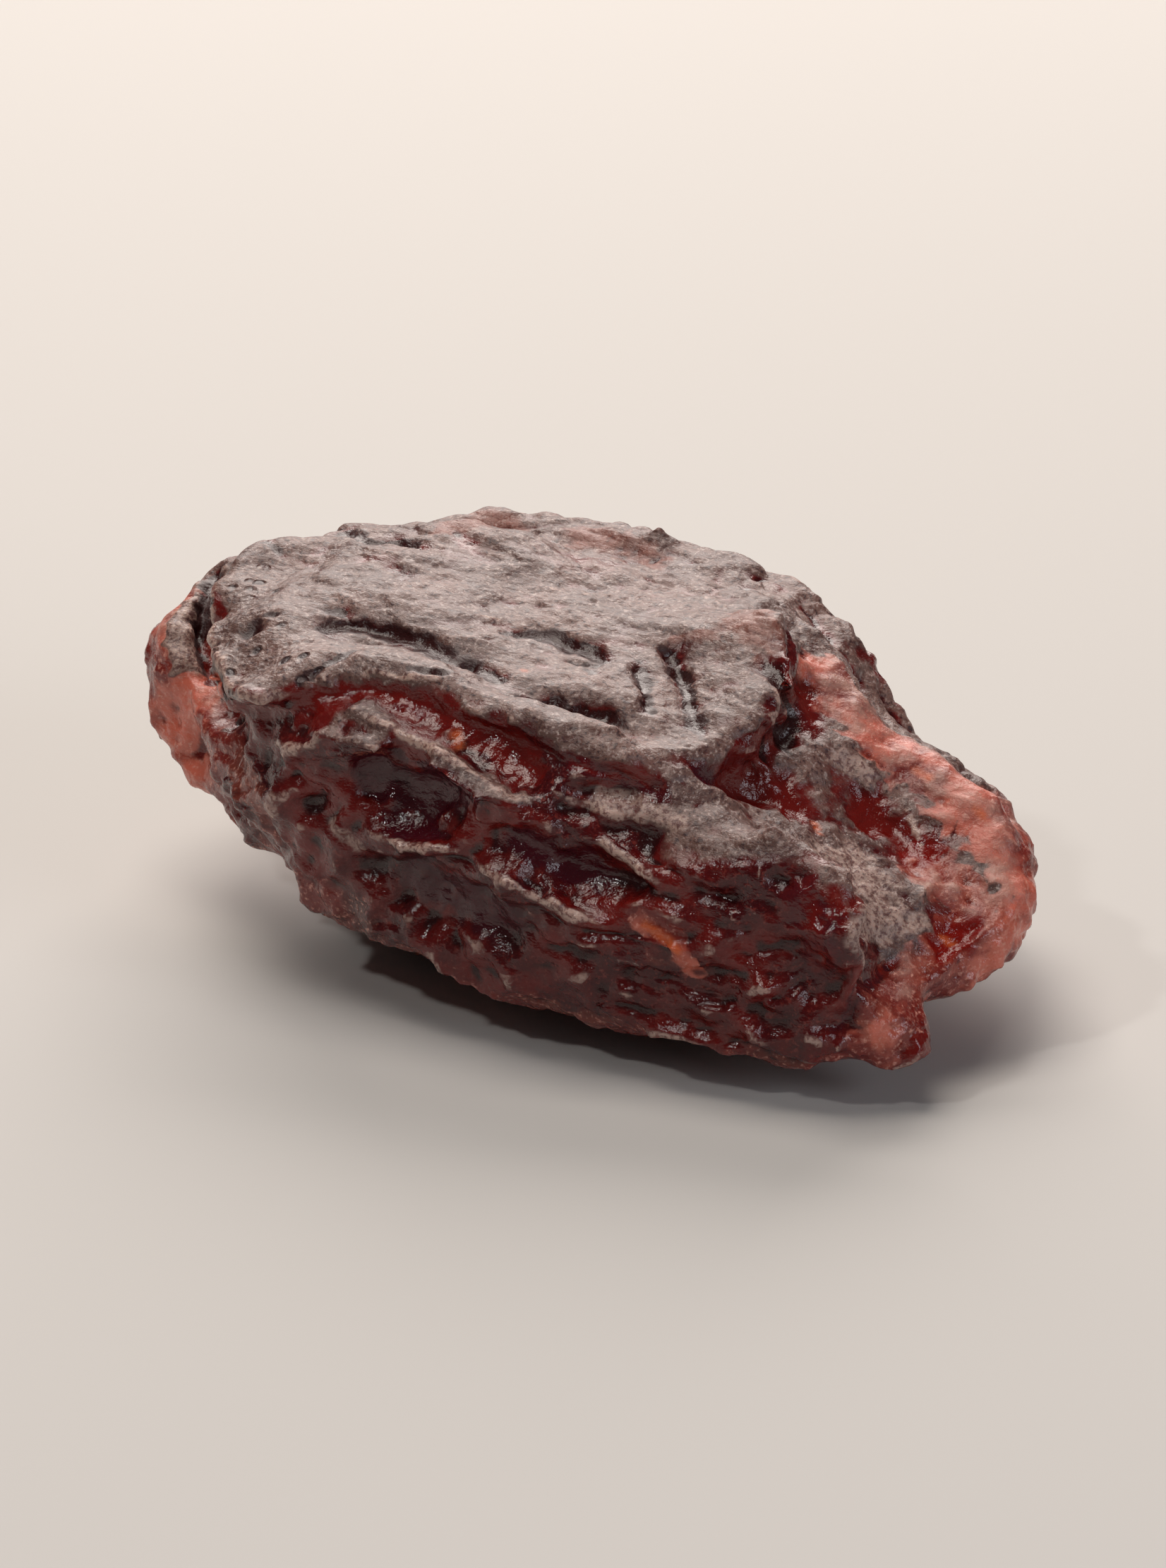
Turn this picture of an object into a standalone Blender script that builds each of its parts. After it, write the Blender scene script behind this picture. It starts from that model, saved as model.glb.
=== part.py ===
"""One dried cranberry, lying skin side up on its cut side.

The berry is one solid. Its length runs along X, with the blunt nose at -X and the flared
rim of the cut flesh at +X. Its front is -Y, and it rests on the plane Z = 0. The form is
worked out in millimetres, like clay: lobes and folds are laid on and fused, grooves and
hollows are pressed in, and the skin is wrinkled. At the end it is brought to metres.
"""

import math

import bmesh
import bpy
import numpy as np
from mathutils import Euler, Vector, noise
from mathutils.bvhtree import BVHTree

MM = 0.001

FORM_GRID = 0.16  # spacing of the points that the grooves are pressed into
SURFACE_GRID = 0.36  # spacing of the points of the finished solid
RELAX_PASSES = 3  # how often the seams between the lobes are eased
EASE_PASSES = 2  # how often the edges of the pressed marks are eased
HIGHEST_RISE = 0.3  # how far the wrinkled skin may stand proud of the lobes
DEEPEST_PRESS = 0.85  # how far it may sink below them
REST_PRESS = 0.35  # how far the lowest skin is pressed up by the surface under it
FOLD_TIP = 0.55  # the thickness of a fold's tips, as a share of its middle's
SHOULDER_SHARE = 0.22  # how far the skin rises beside a groove, as a share of its depth
SHOULDER_GAP = 2.0  # how far from the groove it rises most, in half widths of the groove
SHOULDER_WIDTH = 0.9  # how wide that rise is, in the same measure
CURVE_STEP = 0.25  # spacing of the points along a fold or a groove

VALLEY_DEPTH = 0.26  # how deep the valleys between the skin's wrinkles are
WRINKLE_SIZE = (4.3, 1.6, 1.6)  # how long, wide and high the wrinkles are
WRINKLE_DRIFT = 0.35  # how far the wrinkles wind, as a share of their size
CREASE_HEIGHT = 0.22  # how high the thin creases between the flank's facets stand
CREASE_WIDTH = 0.14  # how wide they are, as a share of a facet
FACET_SIZE = (2.4, 1.4, 1.4)  # how long, wide and high the facets are
FACET_DRIFT = 0.5  # how far their creases wind, as a share of their size
DRIFT_SIZE = (4.0, 3.3, 3.3)  # how far it is from one winding to the next
WRINKLE_SEED = 7

BERRY_COLOUR = (92, 36, 42)
BERRY_ROUGHNESS = 0.42

# Each lobe is a rounded body: its centre, its half sizes, its turns about X, Y and Z in
# degrees, and its squareness, where 2 is an ellipsoid and more is boxier.
LOBES = {
    "pulp": ((-0.2, 0.5, 2.8), (7.4, 4.5, 2.9), (0, 9, 0), 2.3),
    "base": ((-0.6, 0.2, 0.9), (5.0, 3.1, 1.45), (0, 2, 0), 2.0),
    "cap": ((-0.8, -0.3, 4.9), (5.4, 4.4, 1.45), (7, 5, -3), 2.8),
    "nose": ((-4.1, -0.9, 4.5), (2.3, 2.9, 1.35), (15, -3, 30), 5.5),
    "shoulder": ((-1.6, 2.6, 4.6), (5.4, 2.3, 1.9), (-12, 5, 6), 2.3),
    "flank": ((0.9, -3.1, 3.2), (6.4, 1.5, 2.3), (-12, 12, -2), 2.4),
    "skirt": ((2.0, -3.2, 1.5), (6.2, 1.4, 1.2), (0, 3, 0), 2.2),
    "shelf": ((5.3, 0.7, 2.4), (2.9, 3.5, 1.6), (0, 22, 0), 2.3),
    "heel": ((-6.8, 1.2, 3.9), (2.1, 2.6, 1.6), (8, 5, -12), 2.4),
}

# Each fold is a roll of skin or flesh laid along a line: its points and its half width.
FOLDS = {
    "nose_lip": (
        ((-5.8, 1.4, 6.3), (-6.8, 0.2, 6.1), (-6.1, -1.6, 5.6), (-5.2, -3.4, 5.0), (-3.6, -3.8, 5.3)),
        0.36,
    ),
    "cap_lip": (
        ((-3.6, -3.5, 5.9), (-2.3, -3.2, 6.0), (-0.6, -3.4, 5.9), (1.4, -3.5, 5.6), (3.6, -3.2, 5.3)),
        0.45,
    ),
    "cap_end": (((1.7, 0.7, 6.2), (2.9, 1.3, 6.1), (4.0, 0.2, 5.7), (4.5, -1.6, 5.1)), 0.55),
    "front_fold": (
        ((-3.6, -4.6, 4.6), (-2.4, -4.4, 5.1), (-1.0, -4.5, 5.0), (0.8, -4.7, 4.7), (2.6, -4.7, 4.4)),
        0.36,
    ),
    "smile": (((-2.5, -4.5, 3.5), (-1.1, -4.6, 3.3), (0.1, -4.7, 3.4), (1.0, -4.8, 4.1)), 0.32),
    "low_fold": (((-0.2, -4.6, 3.4), (1.5, -4.8, 3.0), (3.2, -4.8, 2.6)), 0.36),
    "end_bulge": (((5.4, -3.2, 4.0), (6.8, -3.3, 3.3), (7.6, -3.6, 2.2)), 0.95),
    "rim": (
        ((4.4, 1.3, 4.9), (6.4, 1.5, 3.8), (8.2, 0.7, 2.6), (8.6, -1.0, 1.6), (7.6, -3.2, 0.7)),
        0.85,
    ),
    "heel_fold": (((-7.9, -0.6, 4.1), (-7.8, -0.8, 3.0), (-6.9, -1.6, 2.1), (-5.2, -2.8, 1.4)), 0.65),
    "ridge_back": (((-5.0, 3.4, 5.3), (-2.0, 3.9, 5.6), (1.5, 3.8, 5.3), (4.6, 3.4, 4.4)), 0.6),
    "belly_back": (((-6.5, 2.8, 2.8), (-2.5, 4.7, 2.6), (2.0, 5.0, 2.4), (6.0, 3.8, 2.0)), 0.7),
}

# Each groove is pressed along a line: its points, its half width and its depth.
GROOVES = {
    "cap_groove": (
        ((-3.8, -2.4, 6.2), (-2.9, -2.1, 6.2), (-1.6, -2.1, 6.1), (-0.3, -2.6, 6.0)),
        0.36,
        0.6,
    ),
    "under_lip": (
        ((-5.7, -3.2, 4.2), (-4.5, -4.2, 4.4), (-3.2, -4.4, 5.0), (-1.6, -4.3, 5.3), (0.4, -4.4, 5.1)),
        0.36,
        0.7,
    ),
    "under_cap": (
        ((0.4, -4.4, 5.1), (2.4, -4.4, 4.7), (4.4, -3.9, 4.4)),
        0.36,
        0.65,
    ),
    "pocket": (((-0.8, -0.9, 6.2), (0.1, -0.9, 6.2), (0.9, -1.0, 6.1)), 0.36, 0.5),
    "lower_groove": (((-0.3, -2.6, 6.0), (1.4, -2.5, 5.8), (3.1, -2.6, 5.5)), 0.32, 0.4),
    "cross_a": (((1.5, -0.5, 6.0), (2.3, -1.7, 5.8)), 0.33, 0.35),
    "cross_b": (((1.9, -0.1, 6.1), (2.7, -1.1, 5.8), (3.3, -2.1, 5.5)), 0.36, 0.5),
    "cap_end": (((3.0, 1.9, 5.9), (4.3, 1.0, 5.5), (5.0, -0.6, 5.1), (5.1, -2.4, 4.7)), 0.42, 0.7),
    "under_front": (
        ((-3.0, -4.7, 4.3), (-0.9, -4.8, 4.3), (1.6, -4.9, 3.9), (4.4, -4.6, 3.4)),
        0.4,
        0.35,
    ),
    "under_low": (((-3.0, -4.4, 2.6), (0.2, -4.9, 2.3), (3.6, -4.9, 1.8), (6.2, -4.4, 1.6)), 0.45, 0.4),
    "end_crease": (
        ((5.4, -2.6, 4.6), (6.6, -1.9, 4.4), (7.9, -2.0, 3.7), (8.4, -2.4, 2.8), (8.2, -3.3, 1.9)),
        0.5,
        0.8,
    ),
    "toe_crease": (((6.1, -3.9, 3.2), (6.9, -4.2, 2.2), (7.3, -4.2, 1.2)), 0.45, 0.45),
    "nose_crease": (
        ((-6.6, 2.2, 5.6), (-7.2, 0.2, 5.1), (-6.7, -1.6, 4.6), (-5.8, -3.2, 4.1), (-4.6, -4.1, 3.7)),
        0.42,
        0.85,
    ),
    "back_groove": (((-5.6, 2.6, 5.9), (-2.4, 3.0, 6.2), (1.0, 2.9, 6.0)), 0.45, 0.4),
    "back_crease": (((-6.2, 3.7, 4.1), (-2.2, 4.9, 4.0), (2.2, 5.0, 3.8), (5.8, 4.1, 3.2)), 0.5, 0.6),
    "cut_seam": (((-5.4, 1.9, 0.6), (-2.0, 2.5, 0.0), (2.4, 2.5, 0.0), (6.4, 1.6, 0.2)), 0.5, 0.8),
}

# Each hollow is a dent: its centre, its half width and its depth.
HOLLOWS = {
    "cap_dip": ((-0.6, 0.8, 6.5), 2.4, 0.35),
    "flank_dent": ((-0.9, -4.8, 4.0), 0.9, 0.35),
    "flank_dent_right": ((2.6, -4.8, 3.5), 0.8, 0.3),
    "cup": ((6.9, -1.0, 4.4), 0.9, 0.5),
    "cup_low": ((8.5, -2.6, 3.0), 0.6, 0.35),
    "back_dent": ((1.4, 5.0, 3.2), 1.5, 0.4),
}


def turned(angles):
    return Euler([math.radians(angle) for angle in angles]).to_matrix()


def add_lobe(bm, centre, half_sizes, angles, squareness):
    """A ball swelled towards a box by its squareness, then sized, turned and placed."""
    made = bmesh.ops.create_icosphere(bm, subdivisions=5, radius=1.0)
    turn = turned(angles)
    for vert in made["verts"]:
        spread = sum(abs(part) ** squareness for part in vert.co)
        ball = vert.co * spread ** (-1.0 / squareness)
        sized = Vector(part * half for part, half in zip(ball, half_sizes))
        vert.co = turn @ sized + Vector(centre)


def smooth_line(points):
    """Points about CURVE_STEP apart on a smooth curve through the given points."""
    knots = [Vector(point) for point in points]
    knots = [2 * knots[0] - knots[1], *knots, 2 * knots[-1] - knots[-2]]
    line = []
    for before, start, end, after in zip(knots, knots[1:], knots[2:], knots[3:]):
        count = max(2, round((end - start).length / CURVE_STEP))
        for t in (step / count for step in range(count)):
            line.append(
                0.5
                * (
                    2 * start
                    + (end - before) * t
                    + (2 * before - 5 * start + 4 * end - after) * t**2
                    + (3 * start - before - 3 * end + after) * t**3
                )
            )
    return [*line, knots[-2]]


def surface_of(mesh):
    corners = [vert.co for vert in mesh.vertices]
    return BVHTree.FromPolygons(corners, [face.vertices for face in mesh.polygons])


def on_surface(points, surface):
    return [surface.find_nearest(point)[0] for point in points]


def add_fold(bm, line, half_width):
    """A roll of beads sunk to half their size in the surface, slimmer towards its ends."""
    for index, point in enumerate(line):
        share = (index + 0.5) / len(line)
        radius = half_width * (FOLD_TIP + (1.0 - FOLD_TIP) * math.sin(math.pi * share))
        made = bmesh.ops.create_icosphere(bm, subdivisions=2, radius=radius)
        bmesh.ops.translate(bm, verts=made["verts"], vec=point)


def fused(bm, grid):
    """The overlapping shells of a mesh as one skin, on a grid of that spacing."""
    mesh = bpy.data.meshes.new("shells")
    bm.to_mesh(mesh)
    bm.free()
    holder = bpy.data.objects.new("fusing", mesh)
    bpy.context.scene.collection.objects.link(holder)
    remesh = holder.modifiers.new("Fuse", "REMESH")
    remesh.mode = "VOXEL"
    remesh.voxel_size = grid
    graph = bpy.context.evaluated_depsgraph_get()
    skin = bpy.data.meshes.new_from_object(holder.evaluated_get(graph))
    bpy.data.objects.remove(holder)
    bpy.data.meshes.remove(mesh)
    return skin


def fused_form():
    """The lobes with the folds laid on them, fused into one skin."""
    bm = bmesh.new()
    for shape in LOBES.values():
        add_lobe(bm, *shape)
    body = surface_of(fused(bm.copy(), SURFACE_GRID))
    for points, half_width in FOLDS.values():
        add_fold(bm, on_surface(smooth_line(points), body), half_width)
    return fused(bm, FORM_GRID)


def corners_of(mesh):
    corners = np.empty(len(mesh.vertices) * 3)
    mesh.vertices.foreach_get("co", corners)
    return corners.reshape(-1, 3)


def normals_of(mesh):
    return np.array([vert.normal for vert in mesh.vertices])


def set_corners(mesh, corners):
    mesh.vertices.foreach_set("co", corners.ravel())
    mesh.update()


def relax(mesh, values, passes):
    """Values at the vertices, each moved half way to the mean of its neighbours."""
    ends = np.array([edge.vertices for edge in mesh.edges])
    count = np.bincount(ends.ravel(), minlength=len(values))[:, None]
    for _ in range(passes):
        total = np.zeros_like(values)
        np.add.at(total, ends[:, 0], values[ends[:, 1]])
        np.add.at(total, ends[:, 1], values[ends[:, 0]])
        values = 0.5 * values + 0.5 * total / count
    return values


def press_groove(corners, line, half_width, depth):
    """How far each corner sinks to press a groove, with the skin pushed up beside it."""
    line = np.array(line)
    gaps = np.linalg.norm(corners[:, None, :] - line[None, :, :], axis=2)
    nearest = gaps.argmin(axis=1)
    gap = gaps.min(axis=1) / half_width
    share = (nearest + 0.5) / len(line)
    fade = np.sin(np.pi * share) ** 0.5
    shoulder = SHOULDER_SHARE * np.exp(-(((gap - SHOULDER_GAP) / SHOULDER_WIDTH) ** 2))
    return depth * fade * (np.exp(-(gap**2)) - shoulder)


def press_hollow(corners, centre, half_width, depth):
    gap = np.linalg.norm(corners - np.array(centre), axis=1) / half_width
    return depth * np.exp(-(gap**2))


def shrunk(corner, size):
    """A corner's place in a pattern whose grains have that size."""
    return Vector(part / grain for part, grain in zip(corner, size))


def wrinkles(corners):
    """How far each corner sinks for the shrunk skin's wrinkles.

    Long puffed ridges with sharp valleys run along the berry, and a net of thin raised
    creases crosses the flanks.
    """
    sunk = np.zeros(len(corners))
    for index, corner in enumerate(corners):
        drift = noise.noise_vector(shrunk(corner, DRIFT_SIZE))
        ridge = 1.0 - 2.0 * abs(noise.noise(shrunk(corner, WRINKLE_SIZE) + WRINKLE_DRIFT * drift))
        near, next_near = noise.voronoi(shrunk(corner, FACET_SIZE) + FACET_DRIFT * drift)[0][:2]
        crease = math.exp(-(((next_near - near) / CREASE_WIDTH) ** 2))
        sunk[index] = VALLEY_DEPTH * ridge**3 - CREASE_HEIGHT * crease
    return sunk


def rest(corners):
    """The berry stood on Z = 0, with its lowest skin pressed flat by the surface."""
    corners[:, 2] -= corners[:, 2].min() + REST_PRESS
    corners[:, 2] = np.maximum(corners[:, 2], 0.0)
    corners[:, :2] -= 0.5 * (corners[:, :2].max(axis=0) + corners[:, :2].min(axis=0))


def berry_mesh():
    mesh = fused_form()
    corners = relax(mesh, corners_of(mesh), RELAX_PASSES)
    set_corners(mesh, corners)
    surface = surface_of(mesh)
    outward = relax(mesh, normals_of(mesh), RELAX_PASSES)
    outward /= np.linalg.norm(outward, axis=1)[:, None]
    sunk = wrinkles(corners)
    for points, half_width, depth in GROOVES.values():
        line = on_surface(smooth_line(points), surface)
        sunk += press_groove(corners, line, half_width, depth)
    for centre, half_width, depth in HOLLOWS.values():
        sunk += press_hollow(corners, surface.find_nearest(Vector(centre))[0], half_width, depth)
    sunk = np.clip(sunk, -HIGHEST_RISE, DEEPEST_PRESS)
    set_corners(mesh, relax(mesh, corners - sunk[:, None] * outward, EASE_PASSES))
    bm = bmesh.new()
    bm.from_mesh(mesh)
    skin = fused(bm, SURFACE_GRID)
    corners = corners_of(skin)
    rest(corners)
    set_corners(skin, MM * corners)
    return skin


def linear(level):
    """A channel of a picture's colour, 0 to 255, as the level of light it stands for."""
    share = level / 255
    return share / 12.92 if share <= 0.04045 else ((share + 0.055) / 1.055) ** 2.4


def berry_material():
    material = bpy.data.materials.new("dried_cranberry_skin")
    material.use_nodes = True
    shader = material.node_tree.nodes["Principled BSDF"]
    shader.inputs["Base Color"].default_value = (*map(linear, BERRY_COLOUR), 1.0)
    shader.inputs["Roughness"].default_value = BERRY_ROUGHNESS
    shader.inputs["Metallic"].default_value = 0.0
    return material


def clear_scene():
    for thing in list(bpy.data.objects):
        bpy.data.objects.remove(thing)


def main():
    clear_scene()
    noise.seed_set(WRINKLE_SEED)
    berry = bpy.data.objects.new("berry", berry_mesh())
    berry.data.materials.append(berry_material())
    bpy.context.scene.collection.objects.link(berry)


main()
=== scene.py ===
"""Looks of one dried cranberry: its wrinkled skin, its bare flesh, the floor and the light.

The solid gives the berry's form. A fine copy of it is wrinkled, cracked and pitted in
millimetres, and what the relief does at each point is kept as attributes that colour it.
Some of that colour is painted light: a painted sheen on the top and crests, and painted
shade in the hollows, cracks and underside.
"""

import math

import bpy
import numpy as np
from mathutils import Matrix, Vector, noise
from mathutils.bvhtree import BVHTree


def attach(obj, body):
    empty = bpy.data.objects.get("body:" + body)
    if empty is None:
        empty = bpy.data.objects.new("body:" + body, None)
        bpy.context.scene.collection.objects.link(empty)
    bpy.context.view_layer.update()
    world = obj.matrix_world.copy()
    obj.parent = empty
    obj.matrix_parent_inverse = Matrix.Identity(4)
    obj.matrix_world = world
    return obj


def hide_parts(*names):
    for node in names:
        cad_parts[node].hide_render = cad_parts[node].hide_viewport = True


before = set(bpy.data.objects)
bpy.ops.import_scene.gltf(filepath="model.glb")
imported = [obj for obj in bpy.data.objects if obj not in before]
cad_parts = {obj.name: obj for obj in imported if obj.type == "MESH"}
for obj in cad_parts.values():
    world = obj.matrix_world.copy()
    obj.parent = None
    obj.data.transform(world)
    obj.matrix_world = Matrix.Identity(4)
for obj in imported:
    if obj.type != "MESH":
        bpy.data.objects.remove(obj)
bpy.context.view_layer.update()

MM = 0.001
NOISE_SEED = 11

# Where the photograph was taken from, and how large its pixels are on the berry.
AZIMUTH = 30.0
ELEVATION = 22.0
PIXEL = 0.0495  # millimetres on the berry to a pixel of the photograph
PHOTO_CENTRE = (1180.0, 1270.0)  # the pixel that looks at the middle of the berry
AIM = Vector((0.0, 0.0, 3.2))  # the middle of the berry, in millimetres

# All sizes of the berry's relief are in millimetres.
HIGHEST_RISE = -0.18  # how far the relief may stand proud of the solid
DEEPEST_PRESS = 0.5  # how far it may sink below it
TIP_SHARPNESS = (0.015, 0.04)  # where tips begin to be blunted, and where they are wholly blunted
GRAIN_TILT = 9.0  # degrees by which the skin's grain falls towards the flared rim
WOBBLE_SIZE = (0.8, 0.5, 0.5)  # of the slow waver of every edge
FRAY_SIZE = (0.24, 0.18, 0.18)  # of the fine fraying of every edge

# Cracks in the skin: the pixels of the photograph that each runs through, its half width and
# its depth.
CRACKS = {
    "cap_crack": (((1087, 1214), (1097, 1212), (1106, 1215), (1118, 1217), (1133, 1224)), 0.17, 0.26),
    "cap_crack_low": (((1126, 1224), (1141, 1229), (1152, 1233)), 0.12, 0.18),
    "cap_crack_short": (((1120, 1229), (1132, 1231)), 0.09, 0.14),
    "pocket": (((1153, 1217), (1168, 1217), (1180, 1221), (1187, 1225)), 0.16, 0.22),
    "pocket_hook": (((1187, 1225), (1183, 1229), (1176, 1228)), 0.08, 0.14),
    "lip_crack": (((1155, 1238), (1168, 1240), (1177, 1243), (1192, 1248)), 0.12, 0.2),
    "nose_slit": (((1082, 1232), (1091, 1227), (1099, 1222)), 0.1, 0.16),
    "top_crack": (((1086, 1174), (1095, 1178), (1104, 1182), (1113, 1182), (1122, 1185)), 0.14, 0.16),
    "nose_top": (((1055, 1181), (1065, 1181), (1072, 1187)), 0.08, 0.12),
    "cross_crack": (((1200, 1226), (1202, 1236), (1203, 1244)), 0.12, 0.22),
    "cross_crack_long": (((1209, 1223), (1214, 1232), (1217, 1242), (1221, 1252)), 0.12, 0.24),
    "cap_slit": (((1168, 1240), (1178, 1245), (1189, 1245)), 0.1, 0.16),
    "nose_step": (((1046, 1184), (1044, 1200), (1044, 1216), (1047, 1232), (1055, 1245)), 0.17, 0.4),
    "cap_end": (((1243, 1226), (1252, 1236), (1256, 1246), (1251, 1257)), 0.16, 0.28),
}
# Moist hollows in the same terms, and how red each of them is. Their darker plum colour is partly painted
# shade; end_shadow is a painted shadow at the berry's end.
HOLLOWS = {
    "under_nose": (((1052, 1246), (1064, 1247), (1080, 1246)), 0.24, 0.25, 0.8),
    "lip_hollow": (
        ((1076, 1244), (1089, 1239), (1102, 1235), (1114, 1237), (1128, 1244), (1142, 1250)),
        0.3,
        0.3,
        1.0,
    ),
    "lip_hollow_low": (((1139, 1250), (1149, 1256), (1158, 1262), (1166, 1268)), 0.36, 0.35, 0.9),
    "end_hollow": (((1170, 1261), (1184, 1266), (1197, 1271), (1208, 1275)), 0.16, 0.2, 0.6),
    "end_shadow": (((1217, 1261), (1231, 1268), (1244, 1271)), 0.26, 0.3, 0.3),
    "end_pit": (((1232, 1267), (1248, 1272), (1260, 1281)), 0.42, 0.3, 1.0),
    "rim_cup": (((1272, 1274), (1290, 1284), (1304, 1296)), 0.46, 0.3, 1.0),
    "cap_end_red": (((1250, 1226), (1258, 1238), (1262, 1252)), 0.25, 0.1, 0.8),
    "toe_cup": (((1303, 1316), (1314, 1326)), 0.6, 0.3, 0.9),
    "facet": (((1098, 1265), (1118, 1270), (1140, 1276)), 0.55, 0.25, 0.1),
    "facet_low": (((1110, 1284), (1128, 1286)), 0.35, 0.15, 0.1),
    "flank_hollow": (((1150, 1285), (1170, 1296), (1190, 1306)), 0.4, 0.16, 0.2),
    "flank_hollow_low": (((1110, 1302), (1132, 1308), (1160, 1320)), 0.4, 0.16, 0.25),
    "end_stain": (((1254, 1300), (1257, 1320), (1262, 1338)), 0.45, 0.12, 0.6),
    "toe_line": (((1287, 1330), (1273, 1343), (1266, 1357)), 0.18, 0.25, 0.5),
}
# Ridges in the same terms, with a negative depth because they stand proud; they are coloured as crests,
# with dust and a painted highlight.
RIDGES = {
    "under_lip": (
        ((1098, 1243), (1110, 1249), (1120, 1254), (1130, 1259), (1142, 1266), (1153, 1271)),
        0.14,
        -0.22,
    ),
    "above_lip": (((1095, 1232), (1107, 1230), (1117, 1232), (1135, 1234)), 0.08, -0.08),
    "flank_left": (((1069, 1255), (1081, 1258), (1091, 1253)), 0.15, -0.2),
    "smile": (((1103, 1285), (1113, 1290), (1125, 1292), (1134, 1293), (1142, 1287)), 0.13, -0.24),
    "flank_low": (((1140, 1297), (1153, 1303), (1165, 1310), (1177, 1315), (1190, 1320)), 0.13, -0.18),
    "flank_high": (((1168, 1272), (1180, 1277), (1192, 1281), (1210, 1284)), 0.12, -0.18),
    "flank_mid": (((1186, 1290), (1197, 1297), (1206, 1305)), 0.14, -0.16),
    "cap_thread": (((1213, 1200), (1227, 1205), (1237, 1211), (1241, 1219), (1246, 1225)), 0.06, -0.08),
    "cap_line": (((1135, 1208), (1150, 1212), (1166, 1212)), 0.06, -0.06),
    "cap_line_high": (((1158, 1198), (1175, 1202), (1192, 1203)), 0.07, -0.06),
    "nose_edge": (
        ((1050, 1190), (1049, 1206), (1050, 1222), (1056, 1236), (1068, 1241), (1082, 1236)),
        0.16,
        -0.16,
    ),
    "flake": (((1199, 1317), (1208, 1322), (1217, 1334)), 0.2, -0.12),
    "end_edge": (((1291, 1275), (1298, 1290), (1303, 1300), (1296, 1310)), 0.12, -0.14),
}
# Bare flesh: the pixels that it runs through, how far it reaches to either side, and how
# pale it is. A lower paleness darkens the flesh, partly as painted shade where it faces down or lies
# underneath.
FLESH = {
    "rim": (((1264, 1229), (1276, 1243), (1290, 1257), (1304, 1266), (1319, 1280)), 0.62, 0.9),
    "rim_right": (((1319, 1280), (1331, 1296), (1336, 1313), (1322, 1336), (1300, 1350)), 0.8, 0.9),
    "rim_inside": (((1300, 1296), (1316, 1312), (1300, 1334), (1284, 1350)), 0.6, 0.5),
    "toe": (((1292, 1352), (1280, 1362)), 0.5, 1.0),
    "heel": (((1034, 1196), (1026, 1214), (1034, 1232), (1043, 1248)), 0.9, 0.9),
    "heel_low": (((1046, 1252), (1056, 1264), (1064, 1280)), 0.4, 0.3),
    "frill": (((1076, 1304), (1088, 1312), (1100, 1316)), 0.45, 0.0),
    "flake": (((1199, 1317), (1208, 1322), (1217, 1334)), 0.2, 1.0),
}
# Skin so thin that the flesh shows through: its pixels, and how far it reaches to either side.
BLUSH = {
    "top_edge": (((1132, 1176), (1143, 1174), (1154, 1176)), 0.4),
    "top_edge_right": (((1180, 1181), (1194, 1184), (1206, 1190)), 0.45),
    "cap_patch": (((1212, 1219), (1224, 1217)), 0.18),
    "cap_end": (((1244, 1226), (1252, 1234), (1256, 1242)), 0.3),
    "cap_back": (((1236, 1210), (1252, 1224), (1262, 1234)), 0.5),
}
# Spots of clear amber pulp, in the same terms, painted bright orange partly as the glow of light shining
# through them.
AMBER = {
    "fleck": (((1134, 1252), (1136, 1256)), 0.13),
    "rim_spot": (((1296, 1264), (1300, 1267)), 0.12),
    "rim_drop": (((1317, 1278), (1319, 1280)), 0.13),
    "pit_spot": (((1262, 1282), (1263, 1286)), 0.09),
    "cap_spot": (((1159, 1229), (1160, 1230)), 0.08),
    "flake": (((1200, 1318), (1206, 1322), (1212, 1328)), 0.13),
    "toe_glow": (((1306, 1320), (1309, 1322)), 0.12),
}
# The smooth, pored end of the berry's nose, in the same terms.
NOSE = (((1058, 1190), (1060, 1206), (1064, 1224), (1072, 1232)), 1.1)
# The flat top of the berry, where the skin is drawn tight, in the same terms.
CAP_PLATE = (((1098, 1208), (1130, 1212), (1165, 1220), (1200, 1224), (1216, 1226)), 1.5)
# Grey, dusty skin that has been rubbed, in the same terms. The flank patch is a painted highlight, and the
# grey on the heel's top is partly a painted sheen.
RUBBED = {
    "heel_top": (((1040, 1204), (1037, 1212), (1037, 1224)), 0.4),
    "end_patch": (((1262, 1294), (1276, 1298), (1284, 1312), (1274, 1322)), 0.5),
    # a painted highlight on the left flank, drawn as grey skin
    "flank_highlight": (((1092, 1285), (1102, 1292)), 0.15),
    "end_spots": (((1186, 1276), (1200, 1278), (1214, 1284)), 0.2),
    "flank_spots": (((1150, 1270), (1158, 1274)), 0.15),
    "rim_skin": (((1270, 1260), (1280, 1266)), 0.2),
    "rim_skin_low": (((1284, 1322), (1298, 1316)), 0.2),
}
PLATE_PASSES = 90  # how often the flat top is eased
LIE_PASSES = 40  # how often the normals are, to tell the top from the sides
CAVITY_PASSES = 14  # how often the points are, to tell hollows from crests
LIES_ON_TOP = (0.38, 0.72)  # the eased normal's Z, from the sides to the top
# the hollows found here are painted darker, as shade
HOLLOW_AT = (0.0, 0.055)  # depth below the eased surface, where hollows begin and are full
CREST_AT = (-0.02, -0.06)  # the same of crests, which stand above it; crests are painted paler, partly dust and partly a painted highlight
RIDGE_DUST_AND_HIGHLIGHT = 1.4  # how dusty the drawn ridges are and how strong their painted highlight, where 1 is a crest of the relief

# Bare flesh on the sides that the photograph hides: where it begins, and where it is full.
FAR_END = (6.0, 7.6)  # along X
FAR_BACK = (-1.0, 1.5)  # along Y, at the far end
NEAR_END = (-5.9, -6.7)  # along X
UNDER_NOSE = (5.3, 4.6)  # along Z, at the near end
FACING_DOWN = (-0.3, -0.8)  # the normal's Z


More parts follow.
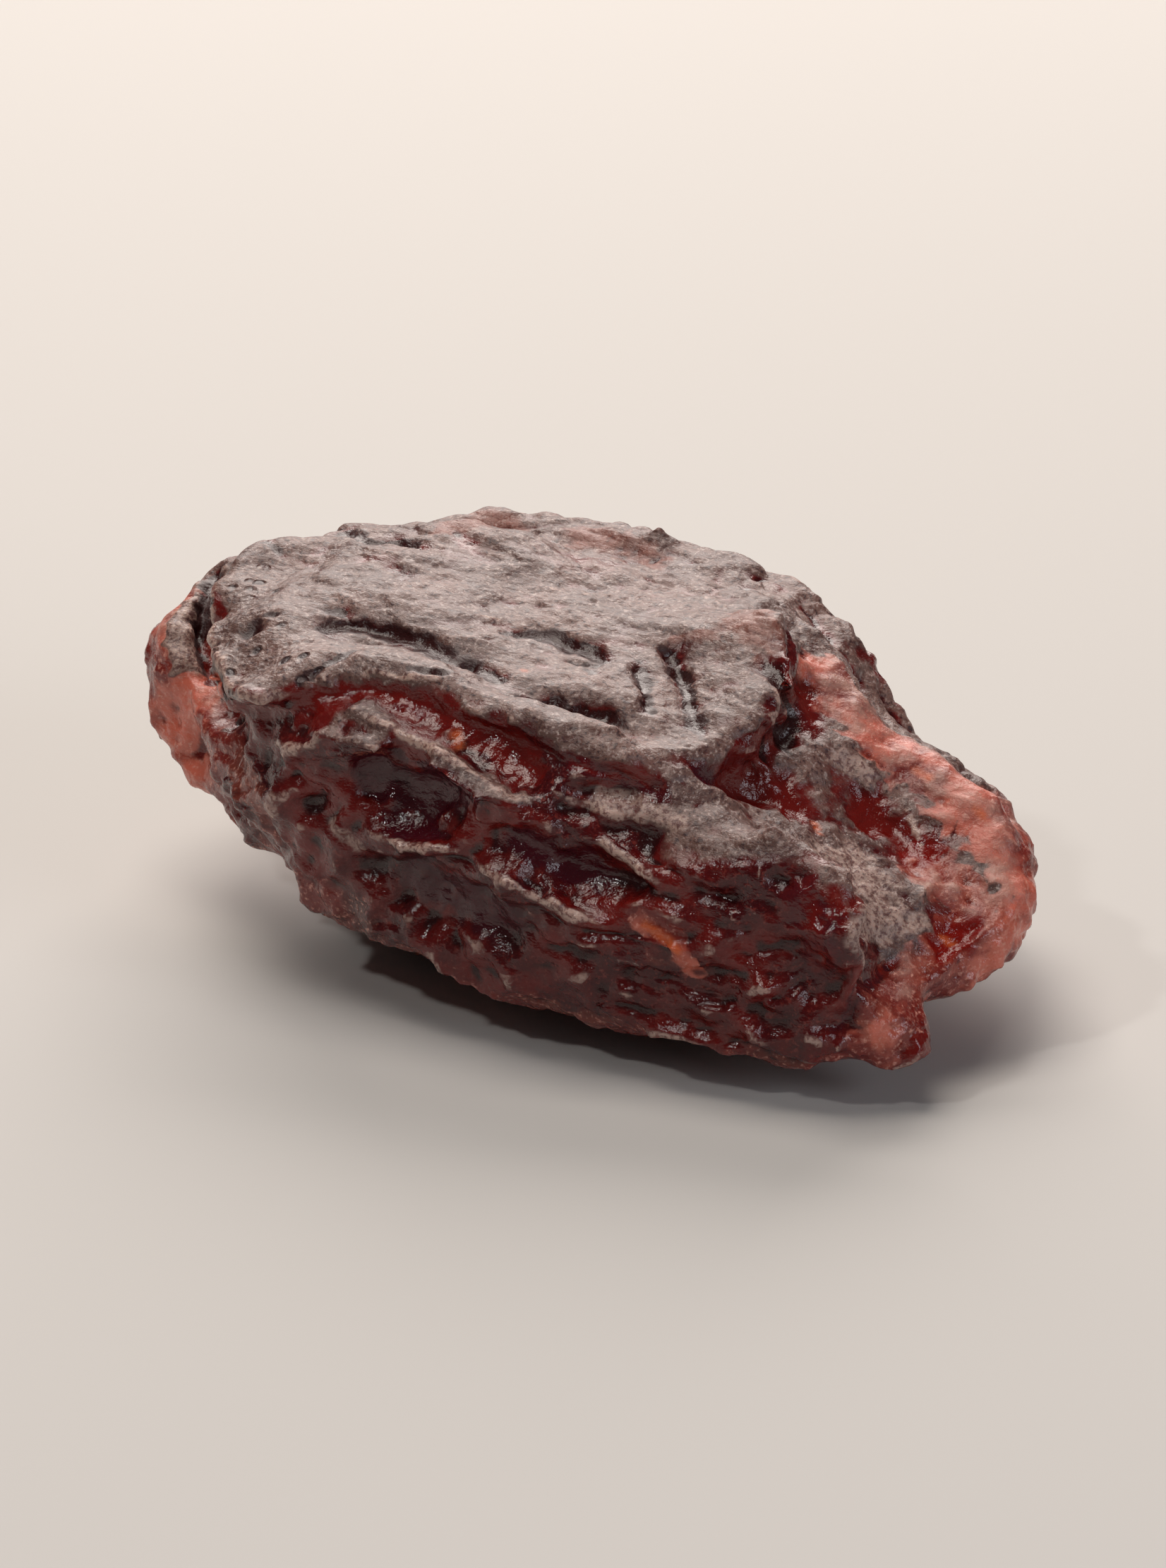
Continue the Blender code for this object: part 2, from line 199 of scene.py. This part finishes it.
def toward_viewer():
    """The directions right, up and towards the viewer of the photograph."""
    turn = math.radians(AZIMUTH)
    lift = math.radians(ELEVATION)
    back = Vector((math.sin(turn) * math.cos(lift), -math.cos(turn) * math.cos(lift), math.sin(lift)))
    right = Vector((math.cos(turn), math.sin(turn), 0.0))
    return right, back.cross(right), back


def choose(thing):
    bpy.ops.object.select_all(action="DESELECT")
    thing.select_set(True)
    bpy.context.view_layer.objects.active = thing


def fine_copy(node_name, name):
    """A fine, smooth copy of a solid, with its loose triangles merged."""
    choose(bpy.data.objects[node_name])
    bpy.ops.object.duplicate()
    piece = bpy.context.active_object
    piece.name = name
    for key in list(piece.keys()):
        del piece[key]
    bpy.ops.object.mode_set(mode="EDIT")
    bpy.ops.mesh.select_all(action="SELECT")
    bpy.ops.mesh.remove_doubles(threshold=0.001 * MM)
    bpy.ops.mesh.tris_convert_to_quads(face_threshold=math.radians(70), shape_threshold=math.radians(70))
    bpy.ops.object.mode_set(mode="OBJECT")
    bpy.ops.object.modifier_add(type="SUBSURF")
    smooth = piece.modifiers[-1]
    smooth.levels = 2
    smooth.render_levels = 2
    bpy.ops.object.modifier_apply(modifier=smooth.name)
    bpy.ops.object.shade_smooth()
    return piece


class Surface:
    """The points of a mesh in millimetres, with what is needed to press relief into them."""

    def __init__(self, mesh):
        self.mesh = mesh
        self.ends = np.empty(len(mesh.edges) * 2, int)
        mesh.edges.foreach_get("vertices", self.ends)
        self.ends = self.ends.reshape(-1, 2)
        points = np.empty(len(mesh.vertices) * 3)
        mesh.vertices.foreach_get("co", points)
        self.points = points.reshape(-1, 3) / MM
        self.count = np.bincount(self.ends.ravel(), minlength=len(self.points))[:, None]
        self.outward = self.normals()

    def normals(self):
        normals = np.empty(len(self.mesh.vertices) * 3)
        self.mesh.vertices.foreach_get("normal", normals)
        return normals.reshape(-1, 3)

    def relaxed(self, values, passes):
        """Values at the points, each pass moving them half way to their neighbours' mean."""
        flat = values.ndim == 1
        values = values.reshape(len(values), -1)
        start, end = self.ends.T
        for _ in range(passes):
            total = np.column_stack(
                [
                    np.bincount(start, part[end], len(values)) + np.bincount(end, part[start], len(values))
                    for part in values.T
                ]
            )
            values = 0.5 * values + 0.5 * total / self.count
        return values[:, 0] if flat else values

    def sink(self, depth):
        """Every point sunk by its depth, against the eased direction of its normal."""
        eased = self.relaxed(self.outward, 4)
        eased /= np.linalg.norm(eased, axis=1)[:, None]
        self.move(self.points - depth[:, None] * eased)

    def blunt(self, low, high):
        """Tips and creases eased, from those sharper than low and wholly from high."""
        eased = self.relaxed(self.points, 3)
        sharp = np.linalg.norm(self.points - eased, axis=1)
        self.move(self.points + step(low, high, sharp)[:, None] * (eased - self.points))

    def move(self, points):
        self.points = points
        self.points[:, 2] = np.maximum(self.points[:, 2], 0.0)
        self.mesh.vertices.foreach_set("co", (self.points * MM).ravel())
        self.mesh.update()
        self.outward = self.normals()

    def tree(self):
        faces = [face.vertices for face in self.mesh.polygons]
        return BVHTree.FromPolygons([Vector(point) for point in self.points], faces)


def step(low, high, values):
    share = np.clip((values - low) / (high - low), 0.0, 1.0)
    return share * share * (3.0 - 2.0 * share)


def patterned(points, size, offset, pattern):
    """A pattern's value at each point, with the size of its grain along X, Y and Z."""
    places = points / np.array(size) + offset
    return np.array([pattern(Vector(place)) for place in places])


def cloud(points, size, offset):
    return patterned(points, size, offset, noise.noise)


def cells(points, size, offset):
    """The distance to the nearest seed of a scatter of cells."""
    return patterned(points, size, offset, lambda place: noise.voronoi(place)[0][0])


def along_grain(points):
    """The points in axes that follow the skin's grain, bent by a slow drift."""
    tilt = np.array(Matrix.Rotation(math.radians(GRAIN_TILT), 3, "Y"))
    drift = patterned(points, (5.0, 3.5, 3.5), 3.0, lambda place: noise.noise_vector(place)[:])
    return points @ tilt.T + 0.7 * drift


def seen_point(pixel, tree):
    """The point of the berry that a pixel of the photograph looks at."""
    right, up, back = toward_viewer()
    across = (pixel[0] - PHOTO_CENTRE[0]) * PIXEL
    above = (PHOTO_CENTRE[1] - pixel[1]) * PIXEL
    start = AIM + across * right + above * up + 40.0 * back
    found = tree.ray_cast(start, -back)[0]
    return found or tree.find_nearest(AIM + across * right + above * up + 2.0 * back)[0]


def seen_line(pixels, tree):
    """Points 0.1 mm or so apart on the berry, under a line of the photograph's pixels."""
    line = []
    for start, end in zip(pixels, pixels[1:]):
        count = max(2, round(math.dist(start, end) * PIXEL / 0.1))
        for share in (index / count for index in range(count)):
            pixel = [a + (b - a) * share for a, b in zip(start, end)]
            line.append(seen_point(pixel, tree))
    return np.array([*line, seen_point(pixels[-1], tree)])


def distance_to(points, line):
    """How far each point is from a line's points, and how far along the line that is."""
    best = np.full(len(points), np.inf)
    share = np.zeros(len(points))
    for index, place in enumerate(line):
        gap = np.linalg.norm(points - place, axis=1)
        nearer = gap < best
        best[nearer] = gap[nearer]
        share[nearer] = (index + 0.5) / len(line)
    return best, share


def pressed_line(points, line, half_width, wobble):
    """1 along the middle of a line, fading to its sides and its ends."""
    gap, share = distance_to(points, line)
    width = half_width * np.maximum(1.0 + 0.8 * wobble, 0.35)
    fade = np.sin(math.pi * np.clip(share, 0.02, 0.98)) ** 0.4
    return fade * np.exp(-((gap / width) ** 2))


def patch(points, line, reach, wobble):
    """1 within reach of a line, fading to 0 over a ragged edge."""
    gap, _ = distance_to(points, line)
    return 1.0 - step(0.55, 1.25, gap / reach + 0.6 * wobble)


def billow(points, size, offset):
    """1 in thin winding valleys, falling to 0 on the rounded ground between them."""
    return np.clip(1.0 - np.abs(2.4 * cloud(points, size, offset)), 0.0, 1.0)


def crinkled(points):
    """A net of thin crests, high on the crests and low between them, spread about 0 by 1."""
    grain = along_grain(points)
    crinkle = patterned(
        grain, (1.3, 0.9, 0.9), 33.0, lambda place: noise.ridged_multi_fractal(place, 0.9, 2.1, 4, 1.0, 2.0)
    )
    return np.clip((crinkle - crinkle.mean()) / crinkle.std(), -2.0, 2.0)


# Valleys that the skin sinks into as the berry dries: their size along and across the grain in
# millimetres, the place in the noise, how narrow they are, their depth on top, and what is
# added to that down the sides and on the back.
VALLEYS = {
    "fold": ((2.2, 1.0, 1.0), 0.0, 3, 0.03, 0.07, 0.1),
    "wrinkle": ((0.9, 0.45, 0.45), 7.0, 3, 0.03, 0.03, 0.06),
    "crease": ((0.55, 0.22, 0.22), 11.0, 2, 0.05, 0.0, 0.0),
}
SPLIT_DEPTH = 0.07  # of the short splits on top
CREST_HEIGHT = (0.015, 0.075)  # of the crests on top, and what the sides add to it
PIT_DEPTH = 0.12  # of the round pits down the sides
CRUMB_DEPTH = 0.06  # of the skin's finest crumb


def skin_relief(points, up, crinkle):
    """How far the skin sinks: low wrinkles on top, a net of thin crests down the flanks."""
    grain = along_grain(points)
    side = 1.0 - up
    back = step(0.5, 3.0, points[:, 1])
    depth = np.zeros(len(points))
    for size, offset, narrow, on_top, on_side, on_back in VALLEYS.values():
        depth += (on_top + on_side * side + on_back * back) * billow(grain, size, offset) ** narrow
    split = billow(grain, (1.7, 0.42, 0.42), 21.0) ** 14
    split *= step(0.22, 0.42, cloud(grain, (1.6, 0.8, 0.8), 27.0))
    depth += SPLIT_DEPTH * up * split
    depth -= (CREST_HEIGHT[0] + CREST_HEIGHT[1] * side) * crinkle
    depth += side * PIT_DEPTH * step(0.55, 0.0, cells(grain, (0.9, 0.75, 0.75), 33.0))
    crumb = patterned(points, (0.4, 0.34, 0.34), 5.0, lambda place: noise.turbulence(place, 2, True))
    return depth + CRUMB_DEPTH * crumb * (0.15 + side)


def flesh_relief(points):
    """How far the bare flesh sinks: a crumbly surface of pulp grains, 0.4 mm across."""
    grains = cells(points, (0.42, 0.34, 0.34), 51.0)
    lumps = patterned(points, (1.1, 0.9, 0.9), 57.0, lambda place: noise.turbulence(place, 3, True))
    return 0.06 * grains + 0.12 * lumps


def set_attribute(mesh, name, values):
    attribute = mesh.attributes.new(name, "FLOAT", "POINT")
    attribute.data.foreach_set("value", values.astype(np.float32))


def painted(points, marks, tree, ragged):
    """The largest of several patches at each point."""
    shares = [patch(points, seen_line(mark[0], tree), mark[1], ragged) for mark in marks.values()]
    return np.max(shares, axis=0)


def bare_flesh(points, tree, facing_up, wobble, ragged):
    """Where flesh is bare and how pale it is: the marks, the hidden ends and the underside, whose flesh is
    painted darker as shade.
    """
    far = step(*FAR_END, points[:, 0] + 0.9 * wobble) * step(*FAR_BACK, points[:, 1])
    near = step(*NEAR_END, points[:, 0] + 0.8 * wobble) * step(*UNDER_NOSE, points[:, 2])
    hidden = np.maximum(far, near)
    underside = step(*FACING_DOWN, facing_up + 0.3 * ragged)
    flesh = np.maximum(0.9 * hidden, underside)
    # painted shade: the underside's flesh is made less pale, so darker
    pale = 0.8 * hidden + 0.3 * underside
    for pixels, reach, paleness in FLESH.values():
        share = patch(points, seen_line(pixels, tree), reach, ragged)
        flesh = np.maximum(flesh, share)
        pale += share * (paleness - pale)
    return flesh, pale


def pressed_marks(points, tree, ragged):
    """How far the marks sink, and how cracked, glossy, wet and crested each point is."""
    depth, crack, gloss, wet, crest = np.zeros((5, len(points)))
    for pixels, half_width, mark_depth in CRACKS.values():
        mark = pressed_line(points, seen_line(pixels, tree), half_width, ragged)
        depth += mark_depth * mark
        crack = np.maximum(crack, mark)
    for pixels, half_width, mark_depth, redness in HOLLOWS.values():
        mark = pressed_line(points, seen_line(pixels, tree), half_width, ragged)
        depth += mark_depth * mark
        gloss = np.maximum(gloss, mark)
        wet = np.maximum(wet, redness * mark)
    for pixels, half_width, mark_depth in RIDGES.values():
        mark = pressed_line(points, seen_line(pixels, tree), half_width, ragged)
        depth += mark_depth * mark
        crest = np.maximum(crest, RIDGE_DUST_AND_HIGHLIGHT * mark)
    return depth, crack, gloss, wet, crest


def sculpted_berry():
    """The berry's skin and flesh, with the attributes that its material reads."""
    noise.seed_set(NOISE_SEED)
    berry = fine_copy("berry", "berry_skin")
    surface = Surface(berry.data)
    points = surface.points
    tree = surface.tree()
    plate = patch(points, seen_line(CAP_PLATE[0], tree), CAP_PLATE[1], 0.0)[:, None]
    points += plate * (surface.relaxed(points, PLATE_PASSES) - points)
    wobble = cloud(points, WOBBLE_SIZE, 75.0)
    ragged = 0.6 * wobble + cloud(points, FRAY_SIZE, 79.0)
    facing_up = surface.relaxed(surface.outward, LIE_PASSES)[:, 2]
    up = step(*LIES_ON_TOP, facing_up + 0.15 * wobble)

    flesh, pale = bare_flesh(points, tree, facing_up, wobble, ragged)
    nose = patch(points, seen_line(NOSE[0], tree), NOSE[1], 0.5 * wobble)
    rubbed = painted(points, RUBBED, tree, ragged)
    flesh *= (1.0 - nose) * (1.0 - rubbed)
    blush = painted(points, BLUSH, tree, ragged)
    spots = [distance_to(points, seen_line(pixels, tree))[0] / reach for pixels, reach in AMBER.values()]
    amber = np.exp(-(np.min(spots, axis=0) ** 2))

    depth, crack, gloss, wet, crest = pressed_marks(points, tree, ragged)
    crinkle = crinkled(points)
    plain = (1.0 - 0.6 * flesh) * (1.0 - 0.85 * nose) * (1.0 - 0.75 * gloss)
    depth += plain * skin_relief(points, up, crinkle) + flesh * flesh_relief(points)
    surface.sink(np.clip(surface.relaxed(depth, 1), HIGHEST_RISE, DEEPEST_PRESS))
    surface.blunt(*TIP_SHARPNESS)

    above = surface.relaxed(surface.points, CAVITY_PASSES) - surface.points
    cavity = surface.relaxed(np.einsum("ij,ij->i", above, surface.outward), 1)
    # painted highlight: crests of the relief get the pale grey, as dust and as a highlight
    crest = np.maximum(crest, step(*CREST_AT, cavity))
    # painted shade: the hollows of the relief are painted darker, as the shade that falls in them
    hollow_shade = step(*HOLLOW_AT, cavity)
    # painted shade: cracks, moist hollows and shaded hollows lose the grey bloom, so they are painted
    # darker
    shaded_hollows = np.maximum(np.maximum(crack, gloss), 0.8 * hollow_shade)
    # painted sheen and shade: the grey bloom is laid strongest on the top as a painted sheen of the light
    # from above, taken out of cracks and hollows as painted shade, and added on crests as dust with a
    # painted highlight, on rubbed dust and on the nose
    bloom_and_sheen = -0.02 + 0.72 * up + 0.08 * crinkle + 0.25 * crest - 0.8 * shaded_hollows + 0.5 * rubbed + 0.15 * nose
    attributes = {
        "hollow_shade": hollow_shade,
        "crack": crack,
        "gloss": gloss,
        "wet": wet,
        "crest": crest,
        "bloom_and_sheen": bloom_and_sheen,
        "flesh": flesh,
        "pale": pale,
        "blush": blush,
        "rubbed": rubbed,
        "amber": amber,
        "nose": nose,
    }
    for name, values in attributes.items():
        set_attribute(berry.data, name, values)
    return berry


def linear(hex_colour):
    """A colour written as sRGB hex, as the linear light that shaders take."""
    levels = [int(hex_colour[start : start + 2], 16) / 255 for start in (1, 3, 5)]
    light = [level / 12.92 if level <= 0.04045 else ((level + 0.055) / 1.055) ** 2.4 for level in levels]
    return (*light, 1.0)


def add_node(tree, kind, inputs, **settings):
    """A node with its settings, and its inputs by name or number: a value, or a socket to link."""
    node = tree.nodes.new(kind)
    for name, value in settings.items():
        setattr(node, name, value)
    for name, value in inputs.items():
        if isinstance(value, bpy.types.NodeSocket):
            tree.links.new(value, node.inputs[name])
        else:
            node.inputs[name].default_value = value
    return node.outputs


# Clouds of colour on the skin: grain size in millimetres, stretch along the berry and detail.
# The bloom's own grain is finer than 0.05 mm, too fine to show, so the specks are drawn coarser.
CLOUDS = {
    "blotch": (1.3, 1.0, 4.0),
    "streak": (0.2, 0.5, 4.0),
    "speck": (0.09, 1.0, 2.0),
    "ragged": (0.35, 0.7, 5.0),
}
PORE_SPACING = 0.4  # millimetres
PEBBLE_SIZE = 0.2  # millimetres

# What the relief tells the material, first what it draws with a ragged edge.
RAGGED_ATTRIBUTES = ("hollow_shade", "crack", "gloss", "wet", "crest", "bloom_and_sheen", "flesh", "amber", "blush", "rubbed")
ATTRIBUTES = (*RAGGED_ATTRIBUTES, "pale", "nose")

# Layers of colour, laid in this order: the layer's name, the share that turns one colour into
# the other, from where to where, and both colours, which may be layers that lie below.
LAYERS = (
    ("maroon", "blotch", 0.35, 0.65, "#3E080C", "#65130F"),
    # lighter specks on the maroon, partly real grain and partly painted glints
    ("maroon", "speck", 0.52, 0.75, "maroon", "#6C2823"),
    # painted shade: the maroon is darkened in the hollows of the relief
    ("maroon", "hollow_shade", 0.2, 0.9, "maroon", "#2E0809"),
    # painted shade in part: the moist hollows are a darker plum
    ("maroon", "gloss", 0.3, 0.7, "maroon", "#400D16"),
    ("maroon", "wet", 0.25, 0.6, "maroon", "#62120E"),
    ("dust", "blotch", 0.35, 0.65, "#553B35", "#6A4C44"),
    ("dust", "streak", 0.5, 0.85, "dust", "#856E66"),
    ("dust", "streak", 0.47, 0.2, "dust", "#48302D"),
    ("dust", "speck", 0.53, 0.68, "dust", "#3A2020"),
    ("dust", "speck", 0.46, 0.3, "dust", "#93807A"),
    ("dust", "blush", 0.3, 2.3, "dust", "#A0543F"),
    # the grey is laid by the bloom mask: real dusty bloom, with a painted sheen on the top and painted
    # shade in the hollows
    ("skin", "bloom_and_sheen", 0.28, 0.66, "maroon", "dust"),
    # the pale grey of rubbed dust, which also serves as the painted highlight on crests
    ("rub_and_highlight", "speck", 0.44, 0.64, "#A98F84", "#6A4843"),
    ("skin", "rubbed", 0.2, 1.5, "skin", "rub_and_highlight"),
    # painted highlight: thin crests are laid with the pale grey, partly dust and partly a highlight
    ("skin", "crest", 0.65, 1.15, "skin", "rub_and_highlight"),
    # painted shade: the cracks are dark maroon, the bare skin under the bloom painted darker still as the
    # shade inside them
    ("skin", "crack", 0.12, 0.32, "skin", "#2E0B0A"),
    # painted shade in part: the flesh runs from dark to pale red by its paleness, which is low where the
    # flesh lies in shade
    ("pulp", "pale", 0.0, 1.0, "#4A1410", "#BC6351"),
    ("pulp", "blotch", 0.42, 0.6, "pulp", "#6E211B"),
    ("pulp", "speck", 0.5, 0.85, "pulp", "#CC9080"),
    # painted sheen: the flesh's upward faces are greyed as the sheen of the light from above
    ("pulp", "bloom_and_sheen", 0.5, 1.15, "pulp", "#A37C6F"),
    # painted shade: the flesh is darkened in the hollows of the relief
    ("pulp", "hollow_shade", 0.3, 0.9, "pulp", "#5A120C"),
    ("pulp", "wet", 0.2, 0.55, "pulp", "#74110B"),
    ("berry", "flesh", 0.35, 0.65, "skin", "pulp"),
    # painted glow in part: clear pulp painted bright orange, as if lit through
    ("berry", "amber", 0.2, 1.3, "berry", "#BE5A30"),
    ("berry", "pore", 0.0, 1.0, "berry", "#2A1214"),
)
# Shares of the roughness, which are added up: the attribute or cloud, from where to where, and
# the roughness at both ends. Bare skin shines, the bloom dulls it and moisture makes it glossy.
ROUGHNESS = (
    ("bloom_and_sheen", 0.2, 0.6, 0.13, 0.42),
    ("gloss", 0.3, 0.6, 0.0, -0.12),
    ("crack", 0.22, 0.4, 0.0, 0.1),
    ("streak", 0.0, 1.0, -0.12, 0.18),
)
# Relief too fine for the mesh, and how high it stands in millimetres.
FINE_RELIEF = {"speck": 0.018, "pebble": 0.03, "streak": 0.05, "ragged": 0.12}
PORE_DEPTH = 0.05  # millimetres


def berry_shares(tree):
    """The attributes, clouds, pores and pebbles that the berry's material is mixed from."""
    place = add_node(tree, "ShaderNodeTexCoord", {})["Object"]
    shares = {}
    for name in ATTRIBUTES:
        shares[name] = add_node(tree, "ShaderNodeAttribute", {}, attribute_name=name)["Fac"]
    for name, (size, stretch, detail) in CLOUDS.items():
        grain = add_node(tree, "ShaderNodeMapping", {"Vector": place, "Scale": (stretch, 1.0, 1.0)})[0]
        inputs = {"Vector": grain, "Scale": 1.0 / (size * MM), "Detail": detail, "Roughness": 0.6}
        shares[name] = add_node(tree, "ShaderNodeTexNoise", inputs)["Fac"]
    for name, spacing in (("pore", PORE_SPACING), ("pebble", PEBBLE_SIZE)):
        inputs = {"Vector": place, "Scale": 1.0 / (spacing * MM)}
        shares[name] = add_node(tree, "ShaderNodeTexVoronoi", inputs)["Distance"]
    pore = add_node(tree, "ShaderNodeMapRange", {0: shares["pore"], 1: 0.22, 2: 0.36, 3: 1.0, 4: 0.0})[0]
    chance = add_node(tree, "ShaderNodeMapRange", {0: shares["blotch"], 1: 0.42, 2: 0.52})[0]
    pore = add_node(tree, "ShaderNodeMath", {0: pore, 1: chance}, operation="MULTIPLY")[0]
    shares["pore"] = add_node(tree, "ShaderNodeMath", {0: pore, 1: shares["nose"]}, operation="MULTIPLY")[0]
    edge = add_node(tree, "ShaderNodeMath", {0: shares["ragged"], 1: 0.5}, operation="SUBTRACT")[0]
    for name in RAGGED_ATTRIBUTES:
        shares[name] = add_node(tree, "ShaderNodeMath", {0: shares[name], 1: edge})[0]
    return shares


# Sugar-infused cranberry, shrunk and dried in warm air: a dull grey bloom over dark maroon
# skin, and red flesh where it is cut. The grey is strongest on the top, where it is partly a
# painted sheen of the light from above, and it is taken out of the valleys and cracks, which
# are painted darker as shade; the thin crests get a pale painted highlight with their dust.
# The moist valleys are glossier, so those shine. Bare flesh is rough and salmon red, painted
# darker as shade where it faces down. Light goes a little way into all of it and comes out red.
def cranberry_skin():
    material = bpy.data.materials.new("dried_cranberry_skin_and_flesh")
    material.use_nodes = True
    tree = material.node_tree
    shader = tree.nodes["Principled BSDF"]
    shares = berry_shares(tree)

    colours = {}
    for name, share, low, high, first, second in LAYERS:
        inputs = {0: shares[share], 1: low, 2: high}
        share = add_node(tree, "ShaderNodeMapRange", inputs, interpolation_type="SMOOTHSTEP")[0]
        ends = [colours[end] if end in colours else linear(end) for end in (first, second)]
        inputs = {0: share, 6: ends[0], 7: ends[1]}
        colours[name] = add_node(tree, "ShaderNodeMix", inputs, data_type="RGBA")[2]
    tree.links.new(colours["berry"], shader.inputs["Base Color"])

    rough = 0.0
    for name, low, high, first, second in ROUGHNESS:
        inputs = {0: shares[name], 1: low, 2: high, 3: first, 4: second}
        part = add_node(tree, "ShaderNodeMapRange", inputs)[0]
        rough = add_node(tree, "ShaderNodeMath", {0: rough, 1: part})[0]
    tree.links.new(rough, shader.inputs["Roughness"])

    # The bumps are lower on the glossy skin, so that it glints in small clear spots.
    relief = add_node(tree, "ShaderNodeMapRange", {0: shares["bloom_and_sheen"], 1: 0.2, 2: 0.6, 3: 0.48, 4: 0.6})[0]
    inputs = {"Strength": relief}
    for name, height in FINE_RELIEF.items():
        inputs |= {"Distance": height * MM, "Height": shares[name]}
        inputs["Normal"] = add_node(tree, "ShaderNodeBump", inputs)[0]
    inputs = {"Distance": PORE_DEPTH * MM, "Height": shares["pore"], "Normal": inputs["Normal"]}
    normal = add_node(tree, "ShaderNodeBump", inputs, invert=True)[0]
    tree.links.new(normal, shader.inputs["Normal"])

    shader.inputs["IOR"].default_value = 1.48
    shader.inputs["Specular IOR Level"].default_value = 0.5
    shader.inputs["Subsurface Weight"].default_value = 0.15
    shader.inputs["Subsurface Radius"].default_value = (1.0, 0.22, 0.12)
    shader.inputs["Subsurface Scale"].default_value = 0.3 * MM
    return material


# Sprayed board: pale, even and without shine.
def matt_board():
    material = bpy.data.materials.new("matt_white_board")
    material.use_nodes = True
    shader = material.node_tree.nodes["Principled BSDF"]
    shader.inputs["Base Color"].default_value = linear("#BDBBB8")
    shader.inputs["Roughness"].default_value = 0.9
    shader.inputs["Specular IOR Level"].default_value = 0.2
    return material


def add_floor():
    bpy.ops.mesh.primitive_plane_add(size=1.6)
    floor = bpy.context.active_object
    floor.name = "floor"
    floor.data.materials.append(matt_board())


def add_softbox(name, place, size, power, colour):
    """A square softbox that looks at the berry."""
    bpy.ops.object.light_add(type="AREA", location=Vector(place) * MM)
    light = bpy.context.active_object
    light.name = name
    light.data.size = size * MM
    light.data.energy = power
    light.data.color = linear(colour)[:3]
    light.rotation_euler = (AIM - Vector(place)).to_track_quat("-Z", "Y").to_euler()


# Softboxes: place and size in millimetres, watts and colour. The window stands behind the berry
# and lays a pale sheen on its top. The glint is small, so it leaves bright points on wet skin.
SOFTBOXES = {
    "window": ((-60.0, 108.0, 95.0), 120.0, 0.28, "#FFF5EE"),
    "ceiling": ((-30.0, -10.0, 160.0), 90.0, 0.16, "#FFF4EA"),
    "glint": ((-35.0, -90.0, 110.0), 9.0, 0.032, "#FFFDFA"),
    "fill": ((140.0, -30.0, 60.0), 70.0, 0.07, "#F4F6FF"),
}
ROOM_LIGHT = 0.055


def add_light():
    for name, (place, size, power, colour) in SOFTBOXES.items():
        add_softbox(name, place, size, power, colour)
    world = bpy.data.worlds.new("room")
    bpy.context.scene.world = world
    world.use_nodes = True
    world.node_tree.nodes["Background"].inputs["Color"].default_value = linear("#FFFFFF")
    world.node_tree.nodes["Background"].inputs["Strength"].default_value = ROOM_LIGHT
    bpy.context.scene.view_settings.view_transform = "Standard"


CAMERA_DISTANCE = 160.0  # millimetres
FRAME_WIDTH = 20.5  # millimetres across the picture, at the berry
SENSOR_WIDTH = 36.0  # millimetres


def add_camera():
    """A long lens at the photograph's viewing angle, with the berry across the frame."""
    back = toward_viewer()[2]
    bpy.ops.object.camera_add(location=(AIM + CAMERA_DISTANCE * back) * MM)
    camera = bpy.context.active_object
    camera.name = "camera"
    camera.rotation_euler = (-back).to_track_quat("-Z", "Y").to_euler()
    camera.data.sensor_fit = "HORIZONTAL"
    camera.data.sensor_width = SENSOR_WIDTH
    camera.data.lens = SENSOR_WIDTH * CAMERA_DISTANCE / FRAME_WIDTH
    camera.data.clip_start = 1.0 * MM
    camera.data.clip_end = 5.0
    bpy.context.scene.camera = camera


def main():
    berry = sculpted_berry()
    berry.data.materials.clear()
    berry.data.materials.append(cranberry_skin())
    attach(berry, "root")
    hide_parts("berry")
    add_floor()
    add_light()
    add_camera()


main()
